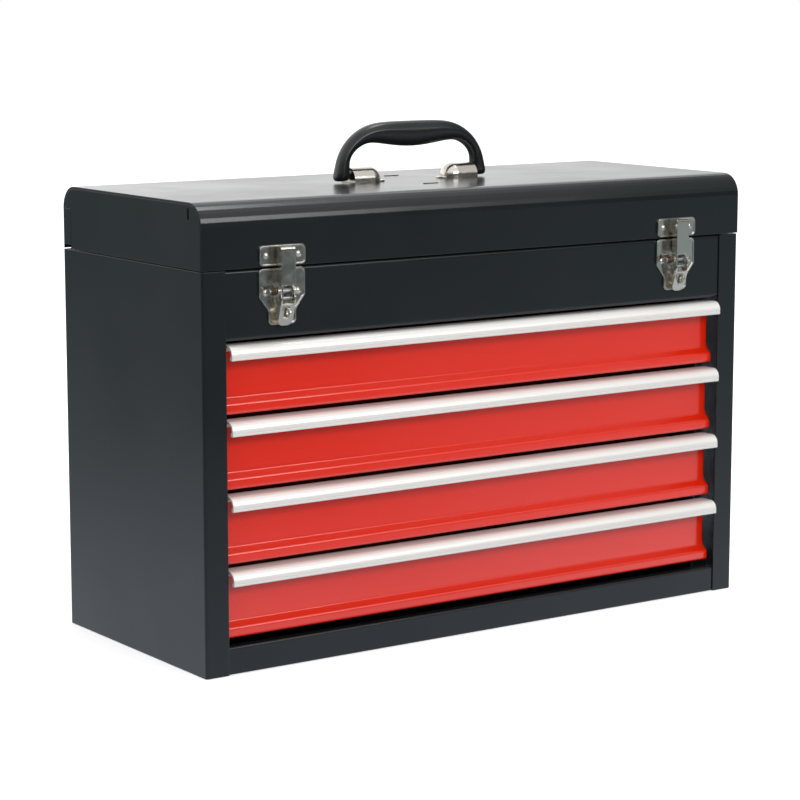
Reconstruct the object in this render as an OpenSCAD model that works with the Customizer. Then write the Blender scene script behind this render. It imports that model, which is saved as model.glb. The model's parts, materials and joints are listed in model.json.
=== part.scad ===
// Portable steel tool chest: a lift-up lid with a folding carrying handle over a top till,
// and four shallow drawers on ball slides below it. Sizes are in millimetres.
// Origin: middle of the underside. X points right, -Y points to the front, Z points up.

/* [Body] */
// Width of the body and the lid
body_w = 520; // [480:1:560]
// Depth of the body and the lid, without latches and hinges
body_d = 213; // [206:1:240]
// Height of the body without the lid
body_h = 304; // [280:0.1:340]
// Thickness of the body and lid sheet
sheet_t = 1; // [0.8:0.05:1.2]
// Outside radius of the body's bent front corners
bend_r = 2; // [1.5:0.1:3]
// Width of the flanges at both sides of the drawer opening
flange_w = 20; // [18:0.5:24]
// Height of the rail below the drawers
rail_h = 21; // [16:0.5:26]
// Depth of the folded edges
hem_w = 8; // [6:0.5:11]
// Width of the hidden flanges that join the panels
joint_flange_w = 12; // [8:0.5:16]
// Outside radius of the long edges of the upper front panel
panel_r = 2.5; // [1.5:0.1:3]
// Height of the lips inside the ends of the lid, above the body
end_lip_h = 5.5; // [3:0.5:8]

/* [Lid] */
// Height of the lid skin
lid_h = 49.2; // [44:0.1:60]
// Shadow gap between the lid and the body
lid_gap = 0.8; // [0.8:0.1:3]
// Outside radius of the lid's long top edges
lid_r = 17.5; // [12:0.5:20]
// Gap between the lid's end plates and its skin
lid_seam = 0.5; // [0.2:0.1:1]
// Width of the skin's return around the back of each end
lid_return_w = 12; // [8:0.5:16]
// Height of the bend relief slit in each end plate
relief_h = 9; // [5:0.5:10]
// Length of the two ribs pressed into the top
rib_len = 14; // [10:0.5:18]
// Width of the pressed ribs
rib_w = 3; // [2:0.1:5]
// Height of the pressed ribs
rib_h = 0.5; // [0.4:0.1:1.4]

/* [Drawers] */
// Height of the upper front panel, which stands in front of the top till
till_h = 52.3; // [48:0.1:60]
// Open height between a pull and the drawer above it
drawer_gap = 4.1; // [3:0.1:5]
// Open height between the bottom rail and the lowest drawer
bottom_gap = 5.3; // [4:0.1:7]
// Open height between the top pull and the upper front panel
panel_gap = 3.1; // [2.5:0.1:5]
// Gap between each end of a drawer front and the flange
side_gap = 2; // [1:0.1:3]
// Depth of the drawer fronts behind the face of the flanges
front_recess = 11; // [9:0.1:13]
// Thickness of the drawer sheet
drawer_t = 1; // [0.8:0.05:1.1]
// How far the bottom lip of a front stands forward
lip_out = 5; // [3:0.1:6]
// Height of the upright part of the lip
lip_h = 7.5; // [5:0.1:9]
// Height of the slope above the lip
lip_slope = 4.5; // [3:0.1:6]
// Radius of the bends of the lip, to the middle of the sheet
lip_r = 2; // [1:0.1:2.5]
// Depth of the folded ends of a drawer front
front_return = 6; // [4:0.1:7]
// Free height between the trays' walls and the clips of the pulls
tray_clear = 1.45; // [0.5:0.05:4]
// Height of a tray's floor above the bottom edge of its front
tray_lift = 2; // [1.5:0.1:4]
// Free depth between the trays and the back panel
tray_back_gap = 8; // [5:0.5:12]

/* [Pulls] */
// Height of the finger pulls
pull_h = 10.7; // [10:0.1:14]
// How far the pull stands out from the drawer front
pull_reach = 16; // [13:0.1:18]
// Radius of the pull's rounded top edge
pull_r = 7; // [5:0.1:8]
// Wall of the pull's profile
pull_t = 1.5; // [1.2:0.1:2]
// Height of the bead along the pull's bottom edge
bead_h = 2.2; // [1.8:0.1:3]
// Depth of the groove above the bead
groove_d = 0.5; // [0.3:0.1:0.8]

/* [Slides] */
// Thickness of a ball slide, from its fixed web to the tray
slide_t = 10.5; // [10:0.1:12]
// Height of the fixed rail
slide_h = 27; // [25:0.1:30]
// Height of the slide's middle above the bottom edge of the drawer front
slide_lift = 25; // [22:0.5:28]
// Travel of a drawer
slide_travel = 140; // [100:1:150]
// Thickness of the slide rails
rail_t = 1; // [0.8:0.05:1.2]
// Thickness of the ball cages
cage_t = 0.8; // [0.6:0.05:1]
// Diameter of the balls
ball_d = 3.9; // [3.4:0.1:4.2]
// Running clearance of the balls
ball_clear = 0.05; // [0.03:0.01:0.08]
// Distance between the balls in a row
ball_pitch = 9; // [7:0.5:12]
// Width of the posts that carry the slides
post_w = 24; // [18:1:30]

/* [Hinges] */
// Distance of each lid hinge's middle from the side of the body
hinge_inset = 100; // [60:1:140]
// Length of one lid hinge
hinge_len = 60; // [40:1:80]
// Height of a hinge leaf
leaf_h = 19; // [15:0.5:24]
// Thickness of a hinge leaf
leaf_t = 1.2; // [1:0.05:1.5]
// Radius of the knuckles
knuckle_r = 3; // [2.6:0.1:3.4]
// Radius of the hinge pins
hinge_pin_r = 1.5; // [1.2:0.05:1.8]

/* [Latches] */
// Distance of each latch's middle from the side of the body
latch_inset = 68.5; // [55:0.5:110]
// Width of a latch's base and keeper
latch_w = 40; // [38:0.5:46]
// Height of a latch's base
latch_h = 42; // [40:0.5:44]
// Thickness of the base and the keeper
plate_t = 1.2; // [1:0.05:1.5]
// Height of the keeper plate on the lid
keeper_h = 15; // [13:0.1:17]
// Width of the narrow lower end of a latch's base
base_end_w = 24; // [20:0.5:26]
// Height of that narrow end
base_end_h = 11; // [8:0.5:13]
// Radius of the plates' rounded corners
plate_r = 3.5; // [2:0.1:4]
// Width of the raised rim around the plates
rim_w = 1; // [0.8:0.1:1.5]
// Height of the raised rim
rim_h = 0.5; // [0.3:0.1:0.8]
// Width of the lever and of the link's head
lever_w = 12.6; // [12:0.1:14.6]
// Sheet of the lever and the link
latch_t = 1; // [0.8:0.05:1.1]
// Distance from the latch's base to its pivot
pivot_out = 5; // [4.7:0.1:6]
// Depth of the pivot below the top of the body
pivot_drop = 17; // [16:0.1:18]
// Radius of the lever's pivot pin
pivot_r = 1.5; // [1.2:0.05:1.6]
// Distance between the lever's pivot and the link's pivot
link_throw = 5.5; // [5:0.1:6]
// Radius of the link's pivot pin
link_pin_r = 1.25; // [1:0.05:1.4]
// Radius of the padlock hole in the staple
eye_r = 2; // [1.8:0.05:2.3]
// Wire of the latch springs
wire_d = 0.9; // [0.7:0.05:1]
// Turns of a latch spring
spring_turns = 3.5; // [2.5:1:3.5]
// Radius of the rivet heads
rivet_r = 2.6; // [2.2:0.1:3]

/* [Handle] */
// Width of the handle over its legs
handle_w = 142; // [125:1:160]
// Height of the handle above the lid
handle_rise = 47; // [42:0.5:55]
// Width of a leg
leg_w = 10; // [8:0.1:12]
// Depth of the handle from front to back
handle_d = 14.6; // [12:0.1:15]
// Thickness of the grip at its fullest
grip_h = 18; // [15:0.1:20]
// Radius of the handle's outside corners
handle_r = 33; // [28:0.5:36]
// Height of the handle's pivot above the lid
handle_pivot_h = 8; // [7.8:0.1:9]
// Radius of the handle's pivot pins
handle_pin_r = 2.5; // [2:0.1:2.6]
// Height of the brackets
bracket_h = 12; // [11.8:0.1:13]
// Half of the brackets' width
bracket_r = 10; // [9:0.1:11]
// Length of the brackets
bracket_len = 29; // [24:0.5:32]
// Sheet of the brackets
bracket_t = 1.2; // [1:0.05:1.4]

/* [Hidden] */
DRAWERS = [1, 2, 3, 4];

// Colours
paint = "#2b3034";
red = "#cc2810";
aluminium = "#d8d8d4";
nickel = "#c9c7bf";
zinc = "#aeb2b4";
plastic = "#1c1f21";
spring_steel = "#8a7a66";

$fn = 48;
bend_steps = 6;
// Smallest overlap that joins shapes of one piece, and how far cutters run past
join = 0.2;
past = 1;
// Gap between fixed and moving sheets that pass each other
run = 0.6;
// Radial clearance of the pins
pin_clear = 0.05;

// Faces of the body
hw = body_w / 2;
y_front = -body_d / 2;
y_back = body_d / 2;
inner_w = hw - sheet_t;
opening = hw - flange_w;
y_panel = y_front + sheet_t;
// Sheets behind the flanges stop short of the inside of the side panels' bends
panel_w = inner_w - (bend_r - sheet_t) - 0.1;

// The drawers share the height between the bottom rail and the upper front panel
lip_z0 = rail_h + bottom_gap;
panel_z = body_h - till_h;
drawer_pitch = (panel_z - panel_gap + drawer_gap - lip_z0) / len(DRAWERS);
front_h = drawer_pitch - drawer_gap;
function lip_z(n) = lip_z0 + (len(DRAWERS) - n) * drawer_pitch;

// Drawer fronts, trays and slides
front_w = opening - side_gap;
y_red = y_front + front_recess;
y_tray = y_red + drawer_t;
clip_h = pull_h / 2;
tray_h = front_h - clip_h - tray_clear - tray_lift;
y_tray_back = y_back - sheet_t - tray_back_gap;
tray_x = opening - slide_t;
y_rail = y_red + front_return + run;
rail_len = y_tray_back - y_rail;
cage_len = rail_len - slide_travel;
post_x = opening + rail_t;
race_z = slide_h / 2 - rail_t - ball_d / 2 - ball_clear;
track_z = race_z - ball_d / 2 - ball_clear;
cage_x = opening - run;
inner_lip_x = cage_x - cage_t - run;
outer_lip_x = tray_x + rail_t + 2 * run;
ball_x = (outer_lip_x + rail_t + inner_lip_x - rail_t) / 2;

// Lid
lid_z = body_h + lid_gap;
lid_top = lid_z + lid_h;

rib_x = 10;
rib_y = handle_rise - handle_pivot_h + rib_w;

// Hinges
hinge_clear = 0.35;
hinge_x = hw - hinge_inset;
hinge_y = y_back + knuckle_r + hinge_clear;
hinge_z = body_h + lid_gap / 2;
knuckle_gap = 0.3;
knuckles = 5;

// Latch levels: "out" is the distance in front of the upper front panel
latch_x = hw - latch_inset;
rivet_hole_r = 1.5;
rivet_x = latch_w / 2 - 5.9;
pivot_v = plate_t + pivot_out;
pivot_z = body_h - pivot_drop;
face_v = pivot_v + 4.6;
knee_z = pivot_z - 7;
tongue_v = pivot_v - 2.2;
tip_z = pivot_z - 26;
eye_z = pivot_z - 16;
eye_v = pivot_v + 4.1;
keeper_v = sheet_t;
keeper_z = lid_z + 1;
keeper_top = keeper_z + keeper_h;
link_w = lever_w - 2 * latch_t - 1;
notch_z = pivot_z - link_throw - 4.1;
link_z = pivot_z + 4.4;
link_top = keeper_top - 1;
link_depth = 6;
ear_x = lever_w / 2 + 0.4;
wire_pitch = wire_d + 0.5;
coil_r = pivot_r + 0.3 + wire_d / 2;
coil_gap = 0.3;
coil_x0 = -ear_x - latch_t - coil_gap - wire_d / 2;
coil_end = coil_x0 - spring_turns * wire_pitch - wire_d / 2 - coil_gap;

// Handle
handle_z = lid_top + handle_pivot_h;
foot_r = handle_d / 2;
leg_in = handle_w / 2 - leg_w;
bracket_x = leg_in - 0.5;
bracket_tab_r = 5;
leg_flare = 2.5;

// Places a part drawn in the Y-Z plane along X, or one drawn in the X-Z plane along Y
module along_x(x0, x1) translate([x0, 0, 0]) rotate([90, 0, 90]) linear_extrude(x1 - x0) children();
module along_y(y0, y1) translate([0, y1, 0]) rotate([90, 0, 0]) linear_extrude(y1 - y0) children();
module along_z(z0, z1) translate([0, 0, z0]) linear_extrude(z1 - z0) children();
module box(low, high) translate(low) cube(high - low);
module rod_x(x0, x1, y, z, r) translate([x0, y, z]) rotate([0, 90, 0]) cylinder(r = r, h = x1 - x0);
module rod_y(y0, y1, x, z, r) translate([x, y0, z]) rotate([-90, 0, 0]) cylinder(r = r, h = y1 - y0);
module both_sides() {
  children();
  mirror([1, 0, 0]) children();
}

// Outline of a bent sheet: a path along the middle of the sheet, with a rounded bend at each corner
function unit(v) = v / norm(v);
function heading(a, b) = atan2(b.y - a.y, b.x - a.x);
function turn(a, b, c) =
  let (d = heading(b, c) - heading(a, b))
  d > 180 ? d - 360 : d < -180 ? d + 360 : d;
function bend(a, b, c, r) =
  let (
    h = heading(a, b),
    t = turn(a, b, c),
    side = sign(t),
    start = b - r * tan(abs(t) / 2) * unit(b - a),
    centre = start + side * r * [-sin(h), cos(h)]
  )
  [for (k = [0 : bend_steps]) let (g = h + t * k / bend_steps)
    [centre.x + side * r * sin(g), centre.y - side * r * cos(g), g]];
function walk(path, r) =
  let (n = len(path) - 1)
  concat(
    [[path[0].x, path[0].y, heading(path[0], path[1])]],
    [for (i = [1 : n - 1]) each bend(path[i - 1], path[i], path[i + 1], r)],
    [[path[n].x, path[n].y, heading(path[n - 1], path[n])]]
  );
function sheet(path, t, r) =
  let (w = walk(path, r))
  concat(
    [for (p = w) [p.x, p.y] + t / 2 * [-sin(p.z), cos(p.z)]],
    [for (i = [len(w) - 1 : -1 : 0]) [w[i].x, w[i].y] - t / 2 * [-sin(w[i].z), cos(w[i].z)]]
  );
module bent(path, t, r) polygon(sheet(path, t, r));
// Closed outline with rounded corners
function rounded(p, r) = let (n = len(p))
  [for (i = [0 : n - 1], q = bend(p[(i + n - 1) % n], p[i], p[(i + 1) % n], r)) [q.x, q.y]];

// Left and right walls of the body, with the flange beside the drawers, and a folded top edge
// whose lip stands up inside the lid
module side_panel() color(paint) {
  along_z(0, body_h) bent(
    [[opening, y_front + sheet_t / 2], [hw - sheet_t / 2, y_front + sheet_t / 2], [hw - sheet_t / 2, y_back]],
    sheet_t, bend_r - sheet_t / 2);
  box([inner_w - hem_w, y_panel + sheet_t + hem_w, body_h - sheet_t],
    [inner_w + join, y_back - sheet_t - hem_w, body_h]);
  box([inner_w - hem_w, y_panel + sheet_t + hem_w + run, body_h - sheet_t],
    [inner_w - hem_w + sheet_t, y_back - lid_return_w - lid_seam - run, body_h + end_lip_h]);
}
module left_side_panel() mirror([1, 0, 0]) side_panel();
module right_side_panel() side_panel();

module back_panel() color(paint) {
  edge = inner_w - sheet_t / 2;
  flange_y = y_back - sheet_t - joint_flange_w;
  difference() {
    along_z(sheet_t, body_h) bent(
      [[-edge, flange_y], [-edge, y_back - sheet_t / 2], [edge, y_back - sheet_t / 2], [edge, flange_y]],
      sheet_t, sheet_t);
    box([-hw, flange_y - past, body_h - sheet_t], [hw, y_back - sheet_t, body_h + past]);
    hinge_rivet_holes(hinge_z - leaf_h / 2);
  }
  box([-inner_w + hem_w, y_back - sheet_t - hem_w, body_h - sheet_t],
    [inner_w - hem_w, y_back - sheet_t + join, body_h]);
}

// Floor of the body, turned up at the front into the rail below the drawers
module bottom_panel() color(paint) {
  rail_y = y_panel + sheet_t / 2;
  along_x(-panel_w, panel_w) bent(
    [[y_back, sheet_t / 2], [rail_y, sheet_t / 2], [rail_y, rail_h - sheet_t / 2],
      [rail_y + hem_w, rail_h - sheet_t / 2]],
    sheet_t, sheet_t);
  box([-inner_w, y_front + bend_r, 0], [inner_w, y_back, sheet_t]);
  both_sides() box([inner_w - sheet_t, y_panel + sheet_t + hem_w, sheet_t - join],
    [inner_w, y_back - sheet_t - joint_flange_w - run, sheet_t + joint_flange_w]);
}

// Front of the top till, which carries the latches
module upper_front_panel() color(paint) {
  panel_y = y_panel + sheet_t / 2;
  difference() {
    along_x(-panel_w, panel_w) bent(
      [[panel_y + hem_w, panel_z + sheet_t / 2], [panel_y, panel_z + sheet_t / 2],
        [panel_y, body_h - sheet_t / 2], [panel_y + hem_w, body_h - sheet_t / 2]],
      sheet_t, panel_r - sheet_t / 2);
    at_latches() latch_rivet_holes(pivot_z - 1.3);
  }
}

module till_floor() color(paint) {
  edge = inner_w - 1.5 * sheet_t;
  floor_z = panel_z + 1.5 * sheet_t;
  along_y(y_panel + panel_r + run, y_back - sheet_t - run) bent(
    [[-edge, floor_z + hem_w], [-edge, floor_z], [edge, floor_z], [edge, floor_z + hem_w]],
    sheet_t, sheet_t);
}

// Four hat-shaped posts bring the slides in to the edge of the drawer opening
module slide_posts() color(zinc) both_sides() {
  wall = inner_w - sheet_t / 2;
  web = post_x + sheet_t / 2;
  half = post_w / 2;
  for (y = [y_rail + rail_len / 8, y_rail + rail_len * 3 / 4])
    along_z(sheet_t + joint_flange_w, panel_z + sheet_t) bent(
      [[wall, y - half - hem_w], [wall, y - half], [web, y - half],
        [web, y + half], [wall, y + half], [wall, y + half + hem_w]],
      sheet_t, sheet_t);
}

// Fixed rails: a channel with lips that keep the balls in
module outer_rails(n) color(zinc) both_sides() translate([0, 0, lip_z(n) + slide_lift]) {
  flange = slide_h / 2 - rail_t / 2;
  lip = race_z + cage_t / 2 + run / 2;
  along_y(y_rail, y_rail + rail_len) bent(
    [[outer_lip_x + rail_t / 2, lip], [outer_lip_x + rail_t / 2, flange], [opening + rail_t / 2, flange],
      [opening + rail_t / 2, -flange], [outer_lip_x + rail_t / 2, -flange], [outer_lip_x + rail_t / 2, -lip]],
    rail_t, rail_t / 2 + 0.1);
}

// Moving rails, fixed to the sides of the tray
module inner_rails(n) color(zinc) both_sides() translate([0, 0, lip_z(n) + slide_lift]) {
  flange = track_z - rail_t / 2;
  lip = race_z - cage_t / 2 - run / 2;
  along_y(y_rail, y_rail + rail_len) bent(
    [[inner_lip_x - rail_t / 2, lip], [inner_lip_x - rail_t / 2, flange], [tray_x + rail_t / 2, flange],
      [tray_x + rail_t / 2, -flange], [inner_lip_x - rail_t / 2, -flange], [inner_lip_x - rail_t / 2, -lip]],
    rail_t, rail_t / 2 + 0.1);
}

// The cages lie in the middle of the fixed rails while the drawers are shut
cage_y = y_rail + slide_travel / 2;
ball_count = floor((cage_len - ball_pitch / 2) / ball_pitch);
function ball_y(k) = cage_y + cage_len / 2 + (k - (ball_count - 1) / 2) * ball_pitch;
module ball_cages(n) color(zinc) both_sides() translate([0, 0, lip_z(n) + slide_lift]) difference() {
  web = cage_x - cage_t / 2;
  edge = outer_lip_x - run;
  along_y(cage_y, cage_y + cage_len) bent(
    [[edge, race_z], [web, race_z], [web, -race_z], [edge, -race_z]], cage_t, cage_t);
  for (k = [0 : ball_count - 1])
    translate([ball_x, ball_y(k), -slide_h / 2]) cylinder(d = ball_d + 4 * ball_clear, h = slide_h);
}
module balls(n) color(nickel) both_sides() translate([0, 0, lip_z(n) + slide_lift])
  for (k = [0 : ball_count - 1], s = [-1, 1])
    translate([ball_x, ball_y(k), s * race_z]) sphere(d = ball_d);

// Folded tray of one drawer
module tray(n) color(red) translate([0, 0, lip_z(n) + tray_lift]) difference() {
  box([-tray_x, y_tray, 0], [tray_x, y_tray_back, tray_h]);
  box([-tray_x + drawer_t, y_tray + drawer_t, drawer_t],
    [tray_x - drawer_t, y_tray_back - drawer_t, tray_h + past]);
}

// Red front: a flat sheet with folded ends, and a lip that stands forward along its bottom edge
module drawer_front(n) color(red) translate([0, 0, lip_z(n)]) {
  mid = y_red + drawer_t / 2;
  end_x = front_w - drawer_t / 2;
  slope_z = lip_h + lip_slope;
  difference() {
    along_z(slope_z, front_h - pull_t) bent(
      [[-end_x, y_red + front_return], [-end_x, mid], [end_x, mid], [end_x, y_red + front_return]],
      drawer_t, 1.5 * drawer_t);
    // The folded ends stop below the clip of the pull
    box([-front_w - past, y_tray, front_h - clip_h - run / 2],
      [front_w + past, y_red + front_return + past, front_h]);
  }
  along_x(-front_w, front_w) bent(
    [[mid, slope_z + 3], [mid, slope_z], [mid - lip_out, lip_h], [mid - lip_out, drawer_t / 2],
      [mid + front_return, drawer_t / 2]],
    drawer_t, lip_r);
}

// Extruded finger pull that clips over the top edge of the front
module pull(n) color(aluminium) translate([0, 0, lip_z(n) + front_h]) {
  nose = y_red - pull_reach;
  arc_y = nose + pull_r;
  outer = [for (k = [0 : 8]) let (a = 90 + k * 90 / 8) [arc_y + pull_r * cos(a), -pull_r + pull_r * sin(a)]];
  inner = [for (k = [8 : -1 : 0]) let (a = 90 + k * 90 / 8)
    [arc_y + (pull_r - pull_t) * cos(a), -pull_r + (pull_r - pull_t) * sin(a)]];
  along_x(-front_w, front_w) polygon(concat(
    [[y_tray + pull_t, 0]],
    outer,
    [[nose, -pull_h + bead_h + groove_d], [nose + groove_d, -pull_h + bead_h + groove_d / 2],
      [nose, -pull_h + bead_h], [nose, -pull_h + 0.6], [nose + 0.6, -pull_h],
      [nose + 2 * pull_t - 0.6, -pull_h], [nose + 2 * pull_t, -pull_h + 0.6],
      [nose + 2 * pull_t, -pull_h + bead_h], [nose + pull_t, -pull_h + bead_h + pull_t]],
    inner,
    [[y_red - pull_t, -pull_t], [y_red - pull_t, -clip_h], [y_red, -clip_h], [y_red, -pull_t],
      [y_tray, -pull_t], [y_tray, -clip_h + pull_t], [y_tray + pull_t, -clip_h + pull_t]]));
}

// Lid skin: one sheet over front, top and back, returned around the back of both ends
function rounded_top(y0, y1, z1, r) = concat(
  [for (k = [0 : 8]) let (a = 180 - k * 90 / 8) [y0 + r + r * cos(a), z1 - r + r * sin(a)]],
  [for (k = [0 : 8]) let (a = 90 - k * 90 / 8) [y1 - r + r * cos(a), z1 - r + r * sin(a)]]);
module lid_outline(inset, z0) polygon(concat(
  [[y_front + inset, z0]],
  rounded_top(y_front + inset, y_back - inset, lid_top - inset, lid_r - inset),
  [[y_back - inset, z0]]));
return_z = lid_z + 3;
return_top = lid_top - lid_r;
module lid_skin() color(paint) {
  difference() {
    along_x(-hw, hw) difference() {
      lid_outline(0, lid_z);
      lid_outline(sheet_t, lid_z - past);
    }
    hinge_rivet_holes(hinge_z + leaf_h / 2);
    at_latches() latch_rivet_holes(keeper_z + keeper_h / 2);
  }
  for (y = [y_front + sheet_t - join, y_back - sheet_t - hem_w])
    box([-inner_w + hem_w, y, lid_z], [inner_w - hem_w, y + hem_w + join, lid_z + sheet_t]);
  both_sides() box([inner_w, y_back - lid_return_w, return_z], [hw, y_back - join, return_top]);
  for (s = [-1, 1]) translate([s * rib_x, s * rib_y, lid_top]) rib();
}
// Low pressed rib with rounded ends
module rib() {
  end_x = (rib_len - rib_w) / 2;
  box([-end_x, -rib_w / 2, -join], [end_x, rib_w / 2, rib_h]);
  for (s = [-1, 1]) translate([s * end_x, 0, -join]) cylinder(d = rib_w, h = rib_h + join);
}

// End plates of the lid, set inside the skin, with flanges that are welded to it
module lid_end() color(paint) {
  difference() {
    union() {
      along_x(inner_w, hw) lid_outline(sheet_t + lid_seam, lid_z);
      along_x(inner_w - hem_w, inner_w + join) difference() {
        lid_outline(sheet_t, lid_z + 2 * sheet_t);
        lid_outline(2 * sheet_t, lid_z - past);
      }
      box([inner_w - hem_w / 2, y_front + sheet_t + hem_w + lid_seam, lid_z],
        [inner_w + join, y_back - sheet_t - hem_w - lid_seam, lid_z + sheet_t]);
    }
    box([inner_w, y_back - lid_return_w - lid_seam, lid_z - past], [hw + past, y_back, return_top + lid_seam]);
    box([inner_w - past / 2, y_front + lid_r, lid_top - 4 - relief_h], [hw + past, y_front + lid_r + 2, lid_top - 4]);
  }
}
module lid_end_left() mirror([1, 0, 0]) lid_end();
module lid_end_right() lid_end();

// Rivets: a domed head outside, a plain one inside, and holes for them
module dome(r, h) {
  ball_r = (r * r + h * h) / (2 * h);
  intersection() {
    translate([0, 0, h - ball_r]) sphere(r = ball_r);
    cylinder(r = r + past, h = h + past);
  }
}
module rivet(y_outer, y_inner, x, z) {
  translate([x, y_outer, z]) rotate([90, 0, 0]) dome(rivet_r, rivet_r / 2);
  rod_y(y_outer - join, y_inner + join, x, z, rivet_hole_r - pin_clear);
  rod_y(y_inner, y_inner + 0.8, x, z, rivet_r - 0.6);
}
module hinge_rivet_holes(z) for (s = [-1, 1], x = [-1, 1])
  rod_y(y_back - 2 * sheet_t, y_back + leaf_t + past, s * hinge_x + x * hinge_len / 3, z, rivet_hole_r);
module hinge_rivets(z) for (s = [-1, 1], x = [-1, 1])
  translate([s * hinge_x + x * hinge_len / 3, 0, 0]) rotate([0, 0, 180])
    rivet(-y_back - leaf_t, -y_back + sheet_t, 0, z);
module at_latches() for (s = [-1, 1]) translate([s * latch_x, 0, 0]) children();
module latch_rivet_holes(z) for (s = [-1, 1])
  rod_y(y_front - plate_t - past, y_panel + 2 * sheet_t, s * rivet_x, z, rivet_hole_r);
module body_rivets() color(nickel) {
  at_latches() for (s = [-1, 1]) rivet(y_panel - plate_t, y_panel + sheet_t, s * rivet_x, pivot_z - 1.3);
  hinge_rivets(hinge_z - leaf_h / 2);
}
module lid_rivets() color(nickel) {
  at_latches() for (s = [-1, 1])
    rivet(y_front - plate_t, y_front + sheet_t, s * rivet_x, keeper_z + keeper_h / 2);
  hinge_rivets(hinge_z + leaf_h / 2);
}

// Butt hinges on the outside of the back: the body holds every other knuckle
knuckle_len = hinge_len / knuckles;
function knuckle_x(k) = -hinge_len / 2 + k * knuckle_len;
module hinge_leaf(first, side) {
  near = knuckle_r + run;
  difference() {
    union() {
      box([-hinge_len / 2, y_back, min(side * near, side * leaf_h)],
        [hinge_len / 2, y_back + leaf_t, max(side * near, side * leaf_h)]);
      for (k = [first : 2 : knuckles - 1]) {
        x0 = knuckle_x(k) + knuckle_gap / 2;
        x1 = knuckle_x(k + 1) - knuckle_gap / 2;
        rod_x(x0, x1, hinge_y, 0, knuckle_r);
        box([x0, y_back, min(0, side * (near + join))], [x1, y_back + leaf_t, max(0, side * (near + join))]);
      }
    }
    rod_x(-hinge_len, hinge_len, hinge_y, 0, hinge_pin_r + pin_clear);
  }
}
module at_hinges() for (s = [-1, 1]) translate([s * hinge_x, 0, hinge_z]) children();
module hinge_body_leaves() color(zinc) difference() {
  at_hinges() hinge_leaf(0, -1);
  hinge_rivet_holes(hinge_z - leaf_h / 2);
}
module hinge_lid_leaves() color(zinc) difference() {
  at_hinges() hinge_leaf(1, 1);
  hinge_rivet_holes(hinge_z + leaf_h / 2);
}
module hinge_pins() color(nickel) at_hinges()
  rod_x(-hinge_len / 2 - 0.5, hinge_len / 2 + 0.5, hinge_y, 0, hinge_pin_r);

// Latches. Their side shapes are drawn with [distance out from the panel, height].
module latch_side(u0, u1) translate([0, y_panel, 0]) mirror([0, 1, 0]) along_x(u0, u1) children();
module latch_rod(u0, u1, v, z, r) rod_x(u0, u1, y_panel - v, z, r);
module latch_box(low, high) box([low.x, y_panel - high.y, low.z], [high.x, y_panel - low.y, high.z]);
module disc2d(v, z, r) translate([v, z]) circle(r = r);

// Outlines of the base and the keeper, or of the field inside their rims
base_top = body_h - 0.3;
base_low = base_top - latch_h;
base_shoulder = base_top - latch_h / 2;
base_neck = base_low + base_end_h;
function base_outline(inset) = let (
    half = latch_w / 2 - inset,
    end = base_end_w / 2 - inset,
    shoulder = base_shoulder + inset / 3,
    neck = base_neck + inset / 3)
  [[-half, base_top - inset], [-half, shoulder], [-end, neck], [-end, base_low + inset],
    [end, base_low + inset], [end, neck], [half, shoulder], [half, base_top - inset]];
function keeper_outline(inset) = let (half = latch_w / 2 - inset)
  [[-half, keeper_top - inset], [-half, keeper_z + inset], [half, keeper_z + inset], [half, keeper_top - inset]];
module rimmed_plate(v, outer, inner) {
  face_y = y_panel - v - plate_t;
  along_y(face_y, y_panel - v) polygon(rounded(outer, plate_r));
  along_y(face_y - rim_h, face_y + join) difference() {
    polygon(rounded(outer, plate_r));
    polygon(rounded(inner, plate_r - rim_w));
  }
}
module latch_base() color(nickel) difference() {
  union() {
    rimmed_plate(0, base_outline(0), base_outline(rim_w));
    both_sides() latch_side(ear_x, ear_x + latch_t) {
      disc2d(pivot_v, pivot_z, 3);
      polygon([[plate_t - join, pivot_z + 5], [plate_t - join, pivot_z - 5],
        [pivot_v, pivot_z - 3], [pivot_v, pivot_z + 3]]);
    }
    latch_side(-0.8, 0.8) {
      disc2d(eye_v, eye_z, eye_r + 1.2);
      polygon([[plate_t - join, eye_z + 4], [plate_t - join, eye_z - 4],
        [eye_v, eye_z - eye_r - 1.2], [eye_v, eye_z + eye_r + 1.2]]);
    }
  }
  latch_rivet_holes(pivot_z - 1.3);
  latch_rod(-latch_w, latch_w, pivot_v, pivot_z, pivot_r + pin_clear);
  latch_rod(-2, 2, eye_v, eye_z, eye_r);
}

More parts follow.
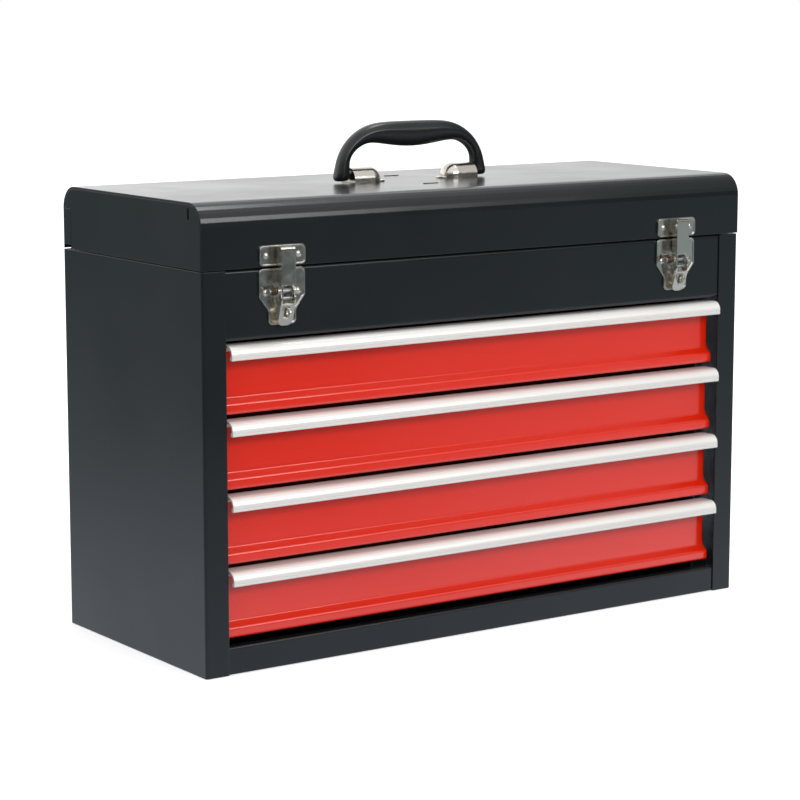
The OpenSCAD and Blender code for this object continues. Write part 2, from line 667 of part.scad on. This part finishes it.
// Lever: a bent tongue with two cheeks on the pivot pin and a slot over the padlock staple
module latch_lever() color(nickel) difference() {
  half = lever_w / 2;
  union() {
    intersection() {
      latch_side(-half, half) bent(
        [[face_v - latch_t / 2, knee_z + 2.5], [face_v - latch_t / 2, knee_z], [tongue_v, tip_z - past]],
        latch_t, 1.5);
      along_y(y_panel - face_v - past, y_panel) polygon(rounded(
        [[-half, tip_z], [half, tip_z], [half, pivot_z + 2 * half], [-half, pivot_z + 2 * half]], half * 0.7));
    }
    both_sides() latch_side(half - latch_t, half) {
      disc2d(pivot_v, pivot_z, 3.2);
      polygon([[pivot_v - 3, pivot_z + 1], [pivot_v - 3, pivot_z - 9], [pivot_v - 1, pivot_z - 13.5],
        [pivot_v + 1.8, pivot_z - 13.5], [face_v - latch_t / 2, knee_z], [face_v - latch_t / 2, knee_z + 2.5],
        [pivot_v + 3, pivot_z + 1]]);
    }
  }
  latch_rod(-latch_w, latch_w, pivot_v, pivot_z, pivot_r + pin_clear);
  latch_rod(-latch_w, latch_w, pivot_v, pivot_z - link_throw, link_pin_r + pin_clear);
  // Notch that lets the arms of the link pass while the lever is lifted
  latch_box([-link_w / 2 - 0.4, pivot_v + 3, notch_z], [link_w / 2 + 0.4, face_v + past, pivot_z]);
  latch_box([-2.5, pivot_v - 6, eye_z - 2.4], [2.5, face_v + past, eye_z + 2.4]);
  for (s = [-1, 1]) rod_y(y_panel - face_v - past, y_panel - pivot_v + 6, 0, eye_z + s * 2.4, 2.5);
}

// Link: a head whose top is bent in over the keeper's hook, on two arms that reach behind the knee
module latch_link() color(nickel) difference() {
  half = link_w / 2;
  head = lever_w / 2;
  arm_v = pivot_v + pivot_r + 0.4;
  arm_face = arm_v + latch_t;
  link_pin_z = pivot_z - link_throw;
  union() {
    latch_side(-head, head) bent(
      [[face_v - link_depth, link_top - latch_t / 2], [face_v - latch_t / 2, link_top - latch_t / 2],
        [face_v - latch_t / 2, link_z]], latch_t, latch_t);
    both_sides() latch_box([head - latch_t, face_v - link_depth, link_z + 1.5],
      [head, face_v - latch_t + join, link_top - latch_t + join]);
    both_sides() latch_side(half - latch_t, half) {
      disc2d(pivot_v, link_pin_z, link_pin_r + 1);
      polygon([[arm_v, link_z + 2], [arm_v, pivot_z - 2.2], [pivot_v - 1, link_pin_z + 2],
        [pivot_v - 1, link_pin_z - 1], [pivot_v + 1, link_pin_z - 2], [arm_face, link_pin_z + 0.5],
        [arm_face, link_z - 1], [face_v - latch_t + join, link_z], [face_v - latch_t + join, link_z + 2]]);
    }
  }
  latch_rod(-latch_w, latch_w, pivot_v, link_pin_z, link_pin_r + pin_clear);
}

// Keeper on the lid: a plate with a pressed hook that lies inside the link's head
module latch_keeper() color(nickel) difference() {
  hook_z = keeper_z + 1.5;
  hook_v = face_v - latch_t - 0.4;
  union() {
    rimmed_plate(keeper_v, keeper_outline(0), keeper_outline(rim_w));
    latch_side(-3.2, 3.2) bent(
      [[keeper_v + plate_t / 2, hook_z + latch_t / 2], [hook_v - latch_t / 2, hook_z + latch_t / 2],
        [hook_v - latch_t / 2, link_top - latch_t - 0.4]], latch_t, latch_t);
  }
  latch_rivet_holes(keeper_z + keeper_h / 2);
}

// Pivot pins, long enough on the left to carry the spring in front of a small head
module latch_pivot_pins() color(zinc) at_latches() {
  latch_rod(coil_end - join, ear_x + latch_t + 0.5, pivot_v, pivot_z, pivot_r);
  latch_rod(coil_end - 0.8, coil_end, pivot_v, pivot_z, coil_r);
}
module latch_link_pin() color(zinc)
  latch_rod(-lever_w / 2, lever_w / 2, pivot_v, pivot_z - link_throw, link_pin_r);

// Torsion spring on the pivot pin, beside the left ear: one tube with two legs
spring_rings = 8;
spring_start = 180;
function coil_point(t) = let (a = spring_start + 360 * t)
  [coil_x0 - t * wire_pitch, coil_r * cos(a), coil_r * sin(a)];
function spring_leg(t, dir, len) = let (a = spring_start + 360 * t)
  coil_point(t) + dir * len * [0, -sin(a), cos(a)];
spring_path = concat(
  [spring_leg(0, -1, 4), spring_leg(0, -1, 4 - wire_d)],
  [for (k = [0 : spring_turns * spring_rings]) coil_point(k / spring_rings)],
  [spring_leg(spring_turns, 1, 4 - wire_d), spring_leg(spring_turns, 1, 4)]);
spring_gap = min([for (i = [0 : len(spring_path) - 1], j = [0 : len(spring_path) - 1])
  if (j > i + spring_rings / 2) norm(spring_path[i] - spring_path[j])]) - wire_d;
echo("least gap of a latch spring to itself", spring_gap);
function tangent(p, i) = unit(p[min(i + 1, len(p) - 1)] - p[max(i - 1, 0)]);
function ring(p, i, r) = let (
    t = tangent(p, i),
    n = unit(cross(t, [1, 0, 0])),
    b = cross(t, n))
  [for (k = [0 : 5]) p[i] + r * (cos(60 * k) * n + sin(60 * k) * b)];
// Faces of a closed skin over n rings of m points each
function skin_faces(n, m) = concat(
  [for (k = [1 : m - 2]) [0, k, k + 1]],
  [for (i = [0 : n - 2], k = [0 : m - 1]) let (a = m * i + k, b = m * i + (k + 1) % m)
    each [[a, b + m, b], [a, a + m, b + m]]],
  [for (k = [1 : m - 2]) let (e = m * (n - 1)) [e, e + k + 1, e + k]]);
module tube(p, r) polyhedron(
  points = [for (i = [0 : len(p) - 1]) each ring(p, i, r)],
  faces = skin_faces(len(p), 6));
module latch_spring() color(spring_steel)
  translate([0, y_panel - pivot_v, pivot_z]) tube(spring_path, wire_d / 2);

// Carrying handle: sections across one moulded bow, from foot to foot
inner_r = handle_r - leg_w - 3;
bow_top = lid_top + handle_rise;
arch_z = bow_top - grip_h + 4;
arch_steps = 6;
belly_steps = 8;
outer_c = [handle_w / 2 - handle_r, bow_top - handle_r];
inner_c = [leg_in - inner_r, arch_z - inner_r];
// Each section is [inner point, outer point, depth]
leg_sections = [for (f = [0, 0.35, 0.7, 1]) let (
    z = handle_z + f * (outer_c.y - handle_z),
    zi = handle_z + f * (inner_c.y - handle_z))
  [[leg_in, zi], [handle_w / 2, z], handle_d - leg_flare * min(1, f * 1.5)]];
arch_sections = [for (k = [1 : arch_steps]) let (a = 90 * k / arch_steps)
  [inner_c + inner_r * [cos(a), sin(a)], outer_c + handle_r * [cos(a), sin(a)],
    handle_d - leg_flare * (1 - k / arch_steps)]];
function belly(x) = let (f = x / inner_c.x) bow_top - grip_h + 4 * (1 - cos(180 * f)) / 2;
// The feet are rounded about the pivot
foot_sections = [for (h = [0.95, 0.8, 0.55, 0.25])
  [[leg_in + h * h, handle_z - h * foot_r], [handle_w / 2 - h * h, handle_z - h * foot_r],
    handle_d * sqrt(1 - h * h)]];
right_sections = concat(foot_sections, leg_sections, arch_sections,
  [for (k = [1 : belly_steps / 2]) let (f = 1 - 2 * k / belly_steps)
    [[inner_c.x * f, belly(inner_c.x * f)], [outer_c.x * f, bow_top], handle_d]]);
bow = concat(right_sections,
  [for (i = [len(right_sections) - 2 : -1 : 0]) let (s = right_sections[i])
    [[-s[0].x, s[0].y], [-s[1].x, s[1].y], s[2]]]);
section_sides = 16;
// Rounded section: a superellipse across the bow
function soft(c) = sign(c) * pow(abs(c), 0.62);
function bow_ring(s) = let (mid = (s[0] + s[1]) / 2, out = (s[1] - s[0]) / 2)
  [for (k = [0 : section_sides - 1]) let (a = 360 * (k + 0.5) / section_sides)
    [mid.x + out.x * soft(cos(a)), s[2] / 2 * soft(sin(a)), mid.y + out.y * soft(cos(a))]];
module bow_solid() polyhedron(
  points = [for (s = bow) each bow_ring(s)],
  faces = skin_faces(len(bow), section_sides));
module handle_grip() color(plastic) difference() {
  bow_solid();
  both_sides() rod_x(leg_in - past, handle_w / 2 - 3, 0, handle_z, handle_pin_r + pin_clear);
}
module handle_pins() color(zinc) both_sides()
  rod_x(bracket_x - bracket_len + bracket_r, handle_w / 2 - 3.2, 0, handle_z, handle_pin_r);

// Half-round bracket: a hood with a rounded inboard end, a cheek for the pin and a flat tab
module hood(r, x1) {
  x0 = bracket_x - bracket_len + bracket_r;
  level = lid_top + bracket_h - bracket_r;
  difference() {
    union() {
      rod_x(x0, x1, 0, level, r);
      translate([x0, 0, level]) sphere(r = r);
      box([x0, -r, lid_top], [x1, r, level]);
      translate([x0, 0, lid_top]) cylinder(r = r, h = level - lid_top);
    }
    box([0, -2 * bracket_r, lid_top - 2 * bracket_r], [x1 + past, 2 * bracket_r, lid_top]);
  }
}
module handle_bracket() color(nickel) {
  x0 = bracket_x - bracket_len + bracket_r;
  tab_x = x0 - bracket_r;
  difference() {
    hood(bracket_r, bracket_x);
    translate([0, 0, -0.001]) hood(bracket_r - bracket_t, bracket_x - bracket_t);
    rod_x(x0, bracket_x + past, 0, handle_z, handle_pin_r + pin_clear);
  }
  difference() {
    union() {
      box([tab_x, -bracket_tab_r, lid_top], [tab_x + bracket_t, bracket_tab_r, lid_top + bracket_t]);
      translate([tab_x, 0, lid_top]) cylinder(r = bracket_tab_r, h = bracket_t);
    }
    box([tab_x + bracket_t + join, -bracket_r, lid_top - past], [bracket_x, bracket_r, lid_top + bracket_h]);
  }
}
module handle_bracket_left() mirror([1, 0, 0]) handle_bracket();
module handle_bracket_right() handle_bracket();

module at_left_latch() translate([-latch_x, 0, 0]) children();
module at_right_latch() translate([latch_x, 0, 0]) children();

left_side_panel();
right_side_panel();
back_panel();
bottom_panel();
upper_front_panel();
till_floor();
slide_posts();
hinge_body_leaves();
hinge_pins();
body_rivets();
at_left_latch() latch_base();  // latch_left_base
at_right_latch() latch_base();  // latch_right_base
at_left_latch() latch_spring();  // latch_left_spring
at_right_latch() latch_spring();  // latch_right_spring
latch_pivot_pins();
at_left_latch() latch_lever();  // latch_left_lever
at_right_latch() latch_lever();  // latch_right_lever
at_left_latch() latch_link_pin();  // latch_left_link_pin
at_right_latch() latch_link_pin();  // latch_right_link_pin
at_left_latch() latch_link();  // latch_left_link
at_right_latch() latch_link();  // latch_right_link
lid_skin();
lid_end_left();
lid_end_right();
hinge_lid_leaves();
at_left_latch() latch_keeper();  // latch_left_keeper
at_right_latch() latch_keeper();  // latch_right_keeper
handle_bracket_left();
handle_bracket_right();
lid_rivets();
handle_grip();
handle_pins();
for (n = DRAWERS) {
  outer_rails(n);
  tray(n);
  drawer_front(n);
  pull(n);
  inner_rails(n);
  ball_cages(n);
  balls(n);
}
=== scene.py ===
import bpy, bmesh, json, math
from mathutils import Matrix, Vector


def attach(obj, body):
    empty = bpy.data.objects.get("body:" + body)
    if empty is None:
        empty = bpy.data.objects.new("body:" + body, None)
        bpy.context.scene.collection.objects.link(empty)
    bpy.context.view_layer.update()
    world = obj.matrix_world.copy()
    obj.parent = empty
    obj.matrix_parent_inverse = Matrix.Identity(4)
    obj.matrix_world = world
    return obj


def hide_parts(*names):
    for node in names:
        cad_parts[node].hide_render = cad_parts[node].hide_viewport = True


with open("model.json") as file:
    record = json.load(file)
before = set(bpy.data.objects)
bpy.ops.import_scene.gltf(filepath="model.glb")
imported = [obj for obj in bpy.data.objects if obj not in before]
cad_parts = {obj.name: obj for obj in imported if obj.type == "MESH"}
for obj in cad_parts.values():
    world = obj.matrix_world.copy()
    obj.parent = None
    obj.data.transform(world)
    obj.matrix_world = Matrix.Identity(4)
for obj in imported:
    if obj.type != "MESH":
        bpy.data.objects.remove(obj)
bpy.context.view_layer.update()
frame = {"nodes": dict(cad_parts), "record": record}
MM = 0.001


# Colours are sRGB hex values; shaders take linear ones
def linear(hex_colour):
    parts = [int(hex_colour[i:i + 2], 16) / 255 for i in (1, 3, 5)]
    return [p / 12.92 if p <= 0.04045 else ((p + 0.055) / 1.055) ** 2.4 for p in parts] + [1.0]


# ---------------------------------------------------------------- camera
# The camera found from the perspective of the box edges: focal length in pixels of the 800 pixel frame
FOCAL_PIXELS, FRAME_PIXELS, SENSOR_MM = 2594.7, 800, 36
TILT_DOWN, TURN = 9.2, -34.9


def place_camera():
    lens = bpy.data.cameras.new("photo_camera")
    lens.sensor_width = SENSOR_MM
    lens.lens = SENSOR_MM * FOCAL_PIXELS / FRAME_PIXELS
    lens.clip_end = 50
    camera = bpy.data.objects.new("photo_camera", lens)
    camera.location = (-1.21274, -1.72353, 0.5139)
    camera.rotation_euler = (math.radians(90 - TILT_DOWN), 0, math.radians(TURN))
    bpy.context.scene.collection.objects.link(camera)
    bpy.context.scene.camera = camera


# ---------------------------------------------------------------- materials
def add(nodes, kind, settings=(), **links):
    """Add one node. Settings are attributes, links are input sockets."""
    node = nodes.nodes.new(kind)
    for key, value in dict(settings).items():
        setattr(node, key, value)
    for key, value in links.items():
        socket = node.inputs[key.replace("_", " ")]
        if isinstance(value, bpy.types.NodeSocket):
            nodes.links.new(value, socket)
        else:
            socket.default_value = value
    return node


def finish_named(name, colour, **shader):
    material = bpy.data.materials.new(name)
    material.use_nodes = True
    nodes = material.node_tree
    nodes.nodes.clear()
    surface = add(nodes, "ShaderNodeBsdfPrincipled", Base_Color=linear(colour), **shader)
    output = add(nodes, "ShaderNodeOutputMaterial", Surface=surface.outputs[0])
    place = add(nodes, "ShaderNodeTexCoord")
    return material, nodes, surface, place.outputs["Object"]


def drifting_roughness(nodes, surface, noise, low, high):
    """Roughness between low and high over the middle of a noise's range."""
    spread = add(nodes, "ShaderNodeMapRange", Value=noise.outputs[0], From_Min=0.3, From_Max=0.7,
                 To_Min=low, To_Max=high)
    nodes.links.new(spread.outputs[0], surface.inputs["Roughness"])


# Radius in mm that the coat and the plating round an edge to
COAT_EDGE = 0.85
PLATE_EDGE = 0.7


def powder_coat(name, colour, roughness, peel_mm, peel_depth, clear):
    # Baked powder coat: even colour, a soft gloss, and an orange-peel ripple that breaks up reflections
    material, nodes, surface, place = finish_named(
        name, colour, Roughness=roughness, IOR=1.5, Coat_Weight=clear, Coat_Roughness=0.12)
    peel = add(nodes, "ShaderNodeTexNoise", Vector=place, Scale=1000 / peel_mm, Detail=2.0)
    grain = add(nodes, "ShaderNodeTexNoise", Vector=place, Scale=1000 / 0.5, Detail=1.0)
    edge = add(nodes, "ShaderNodeBevel", {"samples": 4}, Radius=COAT_EDGE * MM)
    ripple = add(nodes, "ShaderNodeBump", Height=peel.outputs[0], Normal=edge.outputs[0],
                 Strength=0.35, Distance=peel_depth * MM)
    fine = add(nodes, "ShaderNodeBump", Height=grain.outputs[0], Normal=ripple.outputs[0],
               Strength=0.1, Distance=0.005 * MM)
    nodes.links.new(fine.outputs[0], surface.inputs["Normal"])
    # The coat's gloss drifts a little over a hand's width
    drift = add(nodes, "ShaderNodeTexNoise", Vector=place, Scale=9.0, Detail=3.0)
    drifting_roughness(nodes, surface, drift, roughness - 0.03, roughness + 0.04)
    return material


def drawn_aluminium():
    # Satin anodised extrusion: pale metal whose oxide layer scatters light, with fine die lines along the pull
    material, nodes, surface, place = finish_named(
        "satin_anodised_aluminium", "#f0eeea", Metallic=0.35, Roughness=0.36)
    along = add(nodes, "ShaderNodeMapping", Vector=place, Scale=(4.0, 1600.0, 1600.0))
    lines = add(nodes, "ShaderNodeTexNoise", Vector=along.outputs[0], Scale=1.0, Detail=3.0)
    bump = add(nodes, "ShaderNodeBump", Height=lines.outputs[0], Strength=0.25, Distance=0.02 * MM)
    nodes.links.new(bump.outputs[0], surface.inputs["Normal"])
    tone = add(nodes, "ShaderNodeMapRange", Value=lines.outputs[0])
    tone.inputs["To Min"].default_value = 0.3
    tone.inputs["To Max"].default_value = 0.44
    nodes.links.new(tone.outputs[0], surface.inputs["Roughness"])
    return material


def plated(name, colour, roughness, cloud_mm):
    # Plated pressed steel: bright metal with faint clouding and rolling marks left in the sheet
    material, nodes, surface, place = finish_named(name, colour, Metallic=1.0, Roughness=roughness)
    cloud = add(nodes, "ShaderNodeTexNoise", Vector=place, Scale=1000 / cloud_mm, Detail=4.0)
    drifting_roughness(nodes, surface, cloud, roughness * 0.8, roughness * 1.35)
    marks = add(nodes, "ShaderNodeTexNoise", Vector=place, Scale=1000 / 2.5, Detail=3.0)
    edge = add(nodes, "ShaderNodeBevel", {"samples": 4}, Radius=PLATE_EDGE * MM)
    bump = add(nodes, "ShaderNodeBump", Height=marks.outputs[0], Normal=edge.outputs[0],
               Strength=0.15, Distance=0.02 * MM)
    nodes.links.new(bump.outputs[0], surface.inputs["Normal"])
    return material


def moulded_plastic():
    # Moulded black plastic: a fine spark-eroded grain that spreads the highlight
    material, nodes, surface, place = finish_named(
        "moulded_black_plastic", "#111315", Roughness=0.3, IOR=1.52)
    grain = add(nodes, "ShaderNodeTexNoise", Vector=place, Scale=1000 / 0.6, Detail=2.0)
    bump = add(nodes, "ShaderNodeBump", Height=grain.outputs[0], Strength=0.3, Distance=0.04 * MM)
    nodes.links.new(bump.outputs[0], surface.inputs["Normal"])
    return material


FINISHES = {
    "dark_powder_coat": powder_coat("anthracite_powder_coat", "#151a1c", 0.21, 2.2, 0.02, 0.0),
    "red_powder_coat": powder_coat("red_gloss_powder_coat", "#de2408", 0.2, 2.5, 0.015, 1.0),
    "satin_aluminium": drawn_aluminium(),
    "bright_nickel": plated("bright_nickel_plate", "#dcd7cd", 0.17, 6.0),
    "zinc_plated_steel": plated("clear_zinc_plate", "#b9bdc0", 0.34, 9.0),
    "ball_steel": plated("polished_bearing_steel", "#d4d5d6", 0.08, 3.0),
    "spring_steel": plated("oiled_spring_wire", "#6d5a49", 0.35, 3.0),
    "black_plastic": moulded_plastic(),
}


def dress_nodes():
    for part in frame["record"]["subparts"]:
        piece = frame["nodes"][part["node"]]
        finish = FINISHES[part["material_slot"]]
        if not piece.data.materials:
            piece.data.materials.append(finish)
        for slot in piece.material_slots:
            slot.material = finish


def finished(shape, name, finish, smooth):
    mesh = bpy.data.meshes.new(name)
    shape.to_mesh(mesh)
    shape.free()
    for face in mesh.polygons:
        face.use_smooth = smooth
    piece = bpy.data.objects.new(name, mesh)
    piece.data.materials.append(FINISHES[finish])
    bpy.context.scene.collection.objects.link(piece)
    return piece


# ---------------------------------------------------------------- the moulded handle
# Sections of the bow's right half from foot to middle, in mm:
# inner edge (x, z), outer edge (x, z) and depth from front to back
BOW = [
    ((63.0, 355.3), (71.8, 355.1), 4.0),
    ((61.6, 356.3), (73.6, 356.1), 9.0),
    ((61.2, 358.6), (74.1, 358.4), 12.4),
    ((61.2, 362.0), (73.1, 362.0), 13.2),
    ((61.2, 366.6), (71.8, 366.8), 12.8),
    ((61.0, 371.4), (70.6, 371.8), 12.4),
    ((59.2, 375.4), (68.5, 376.8), 12.4),
    ((55.8, 379.2), (65.7, 381.6), 12.8),
    ((51.2, 382.0), (61.6, 387.0), 13.4),
    ((46.4, 384.0), (56.2, 391.8), 14.0),
    ((41.0, 384.9), (49.5, 396.2), 14.5),
    ((34.5, 384.6), (40.5, 399.9), 14.8),
    ((26.0, 383.4), (29.5, 401.6), 14.9),
    ((13.0, 381.5), (14.0, 401.9), 15.0),
    ((0.0, 380.8), (0.0, 401.9), 15.0),
]
SQUARENESS = 0.78
RIDGE = 0.25, 1.08  # the mould's parting ridge: how far above the middle, how far out


def section_place(inner, outer, depth):
    """Matrix that takes a unit section to its place across the bow."""
    inner, outer = Vector((inner[0], 0, inner[1])), Vector((outer[0], 0, outer[1]))
    across, front = (outer - inner) / 2, Vector((0, depth / 2, 0))
    along = across.cross(front).normalized()
    place = Matrix((across, front, along)).transposed().to_4x4()
    place.translation = (inner + outer) / 2
    return Matrix.Scale(MM, 4) @ place


def handle_bow():
    """The grip swept from foot to foot, fuller under the fingers and flared at the feet."""
    mirrored = [((-inner[0], inner[1]), (-outer[0], outer[1]), depth)
                for inner, outer, depth in BOW[-2::-1]]
    stations = [section_place(*section) for section in BOW + mirrored]
    shape = bmesh.new()
    ring = bmesh.ops.create_circle(shape, segments=16, radius=1.0)["verts"]
    for vert in ring:
        vert.co = [math.copysign(abs(c) ** SQUARENESS, c) for c in vert.co]
        if abs(vert.co.y) > 0.99:
            vert.co.x, vert.co.y = RIDGE[0], math.copysign(RIDGE[1], vert.co.y)
    bmesh.ops.transform(shape, matrix=stations[0], verts=ring)
    edges = list(shape.edges)
    for last, place in zip(stations, stations[1:]):
        grown = bmesh.ops.extrude_edge_only(shape, edges=edges)["geom"]
        ring = [part for part in grown if isinstance(part, bmesh.types.BMVert)]
        edges = [part for part in grown if isinstance(part, bmesh.types.BMEdge)
                 and all(vert in ring for vert in part.verts)]
        bmesh.ops.transform(shape, matrix=place @ last.inverted(), verts=ring)
    bmesh.ops.holes_fill(shape, edges=shape.edges)
    bmesh.ops.recalc_face_normals(shape, faces=shape.faces)
    piece = finished(shape, "moulded_handle_bow", "black_plastic", smooth=True)
    rounder = piece.modifiers.new("rounder", "SUBSURF")
    rounder.levels = rounder.render_levels = 2
    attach(piece, "carrying_handle")
    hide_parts("handle_grip")


# ---------------------------------------------------------------- floor and light
def floor():
    # White paper, lit from below for the camera; reflections pass through it to the room's own table
    bpy.ops.mesh.primitive_plane_add(size=60, location=(0, 0, -0.0005))
    ground = bpy.context.object
    ground.name = "studio_floor"
    ground.visible_glossy = False
    material, nodes, surface, place = finish_named("white_paper_floor", "#ffffff", Roughness=0.9)
    surface.inputs["Specular IOR Level"].default_value = 0.0
    surface.inputs["Emission Color"].default_value = linear("#ffffff")
    path = add(nodes, "ShaderNodeLightPath")
    glow = add(nodes, "ShaderNodeMapRange", Value=path.outputs["Is Camera Ray"], To_Max=0.4)
    nodes.links.new(glow.outputs[0], surface.inputs["Emission Strength"])
    # The light that it throws back on the chest is dimmer, so that more of it comes from above
    tone = add(nodes, "ShaderNodeMix", {"data_type": "RGBA"})
    tone.inputs[6].default_value = linear("#ffffff")
    tone.inputs[7].default_value = linear("#b0b0b0")
    nodes.links.new(path.outputs["Is Diffuse Ray"], tone.inputs[0])
    nodes.links.new(tone.outputs[2], surface.inputs["Base Color"])
    ground.data.materials.append(material)


def soft_light(name, toward, distance, size, brightness, aim=(0, 0, 0.3)):
    """A softbox seen from the lid in the direction given, of the brightness it shows."""
    lamp = bpy.data.lights.new(name, "AREA")
    lamp.shape = "RECTANGLE"
    lamp.size, lamp.size_y = size
    lamp.energy = brightness * math.pi * size[0] * size[1]
    holder = bpy.data.objects.new(name, lamp)
    way = Vector(toward).normalized()
    holder.location = Vector(aim) + way * distance
    holder.rotation_euler = (-way).to_track_quat("-Z", "Y").to_euler()
    bpy.context.scene.collection.objects.link(holder)


# What reflections meet below the horizon, by the upward part of their direction
TABLE = [(-0.44, (0.42, 0.46, 0.5)), (-0.29, (0.82, 0.92, 1.06)), (-0.25, (0.78, 0.87, 1.02)),
         (-0.226, (1.05, 1.1, 1.16)), (-0.203, (0.42, 0.48, 0.54)), (-0.17, (0.27, 0.31, 0.33)),
         (-0.11, (0.2, 0.25, 0.26)), (-0.05, (0.15, 0.19, 0.2))]


def room(nodes):
    """What glossy surfaces see: a lit table that dims with distance, a white wall behind, a dim ceiling."""
    place = add(nodes, "ShaderNodeTexCoord")
    way = add(nodes, "ShaderNodeSeparateXYZ", Vector=place.outputs["Generated"])
    right, back, up = way.outputs

    def ramp(value, low, high, out_low, out_high):
        step = add(nodes, "ShaderNodeMapRange", Value=value, From_Min=low, From_Max=high,
                   To_Min=out_low, To_Max=out_high)
        return step.outputs[0]

    def combine(operation, first, second):
        step = add(nodes, "ShaderNodeMath", {"operation": operation})
        nodes.links.new(first, step.inputs[0])
        nodes.links.new(second, step.inputs[1])
        return step.outputs[0]

    def glow(colour, level):
        return add(nodes, "ShaderNodeBackground", Color=colour, Strength=level).outputs[0]

    low, high = TABLE[0][0], TABLE[-1][0]
    shade = add(nodes, "ShaderNodeValToRGB", Fac=ramp(up, low, high, 0.0, 1.0))
    stops = shade.color_ramp.elements
    while len(stops) < len(TABLE):
        stops.new(0.5)
    for stop, (height, colour) in zip(stops, TABLE):
        stop.position = (height - low) / (high - low)
        stop.color = (*colour, 1.0)
    near_edge = combine("MAXIMUM", ramp(up, -0.205, -0.24, 0.0, 1.0), ramp(up, -0.15, -0.11, 0.0, 0.4))
    beside = combine("MAXIMUM",
                     combine("MAXIMUM", ramp(right, 0.53, 0.595, 0.0, 1.0), near_edge),
                     ramp(back, -0.3, 0.2, 0.0, 1.0))
    beside = combine("MULTIPLY", beside, ramp(right, 0.6, 0.66, 1.0, 1.4))
    table = glow(shade.outputs[0], combine("MULTIPLY", beside, ramp(up, -0.04, 0.0, 1.0, 0.0)))
    wall = combine("MULTIPLY", ramp(back, 0.15, 0.5, 0.0, 1.3), ramp(up, -0.04, 0.03, 0.0, 1.0))
    wall = combine("MULTIPLY", wall, ramp(up, 0.45, 0.75, 1.0, 0.3))
    wall = combine("MULTIPLY", wall, ramp(right, 0.58, 0.7, 1.0, 0.7))
    ceiling = combine("MULTIPLY", ramp(up, 0.1, 0.5, 0.0, 1.0), ramp(right, 0.52, 0.66, 1.0, 0.25))
    dim = combine("MULTIPLY", ramp(back, -0.5, 0.4, 0.06, 0.2), ramp(up, -0.04, 0.0, 0.0, 1.0))
    above = glow(linear("#ffffff"), combine("MAXIMUM", wall, combine("MAXIMUM", ceiling, dim)))
    both = add(nodes, "ShaderNodeAddShader")
    nodes.links.new(table, both.inputs[0])
    nodes.links.new(above, both.inputs[1])
    return both.outputs[0]


def studio():
    world = bpy.data.worlds.new("white_studio")
    bpy.context.scene.world = world
    world.use_nodes = True
    nodes = world.node_tree
    nodes.nodes.clear()
    path = add(nodes, "ShaderNodeLightPath")
    even = add(nodes, "ShaderNodeMapRange", Value=path.outputs["Is Camera Ray"],
               To_Min=0.9, To_Max=1.0)
    paper = add(nodes, "ShaderNodeBackground", Color=(1, 1, 1, 1), Strength=even.outputs[0])
    both = add(nodes, "ShaderNodeMixShader")
    nodes.links.new(path.outputs["Is Glossy Ray"], both.inputs[0])
    nodes.links.new(paper.outputs[0], both.inputs[1])
    nodes.links.new(room(nodes), both.inputs[2])
    add(nodes, "ShaderNodeOutputWorld", Surface=both.outputs[0])
    soft_light("front_softbox", (0.13, -0.9, 0.4), 3.2, (2.7, 0.75), 6.5)
    soft_light("overhead_softbox", (0.3, 0.05, 0.87), 2.6, (1.1, 0.55), 8.0)
    bpy.context.scene.view_settings.view_transform = "Standard"


place_camera()
dress_nodes()
handle_bow()
floor()
studio()
